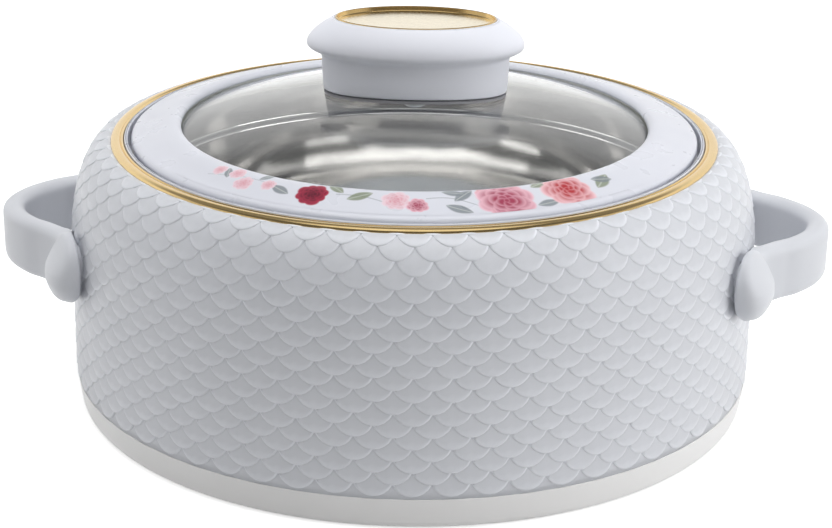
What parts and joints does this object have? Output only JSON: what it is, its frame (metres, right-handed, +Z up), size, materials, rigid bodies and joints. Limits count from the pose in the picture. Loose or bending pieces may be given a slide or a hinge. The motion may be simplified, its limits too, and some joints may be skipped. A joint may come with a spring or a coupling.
{
  "type": "insulated chapati casserole",
  "caption": "Round foam-insulated chapati casserole with a steel liner, gold-trimmed rim, glass-domed lift-off lid with an oval knob, and fixed loop handles.",
  "frame": {"origin": "on the vertical axis, at the underside of the foot ring", "axes": "+Z up along the axis of the bowl, X along the two handles, Y across them"},
  "size_m": [0.3046, 0.2506, 0.1397],
  "materials": {
    "shell_plastic": "pale blue-white moulded ABS, semi-gloss; the real shell has a fish-scale relief",
    "base_plastic": "warm off-white moulded plastic, semi-gloss",
    "lid_plastic": "pale white moulded plastic, satin gloss",
    "gold_metallised": null,
    "liner_steel": "drawn stainless steel, spun and brushed inside",
    "lid_glass": "clear tempered glass with a rounded edge",
    "seal_silicone": "translucent white silicone",
    "retainer_plastic": "grey-beige moulded plastic, matt",
    "foam": "rigid polyurethane foam, poured in place, never seen",
    "fastener_steel": "zinc-plated steel",
    "insert_brass": "turned brass, knurled on the real piece"
  },
  "bodies": {
    "casserole_body": {"outer_shell": "shell_plastic", "base_cover": "base_plastic", "foam_port_plug": "base_plastic", "gold_rim_trim": "gold_metallised", "rim_collar": "lid_plastic", "liner_seal": "seal_silicone", "steel_liner": "liner_steel", "insulation_foam": "foam", "handle_left": "shell_plastic", "handle_right": "shell_plastic", "left_handle_screws": "fastener_steel", "right_handle_screws": "fastener_steel", "left_handle_washers": "fastener_steel", "right_handle_washers": "fastener_steel"},
    "lid": {"lid_ring": "lid_plastic", "lid_glass": "lid_glass", "glass_gasket": "seal_silicone", "glass_retainer": "retainer_plastic", "knob_body": "lid_plastic", "knob_gold_cap": "gold_metallised", "knob_pad": "seal_silicone", "knob_insert": "insert_brass", "knob_soft_washer": "seal_silicone", "knob_steel_washer": "fastener_steel", "knob_screw": "fastener_steel"}
  },
  "joints": [
    {"name": "lid_lift", "type": "slide", "parent": "casserole_body", "child": "lid", "axis": [0, 0, 1], "range_m": [0, 0.12]}
  ]
}
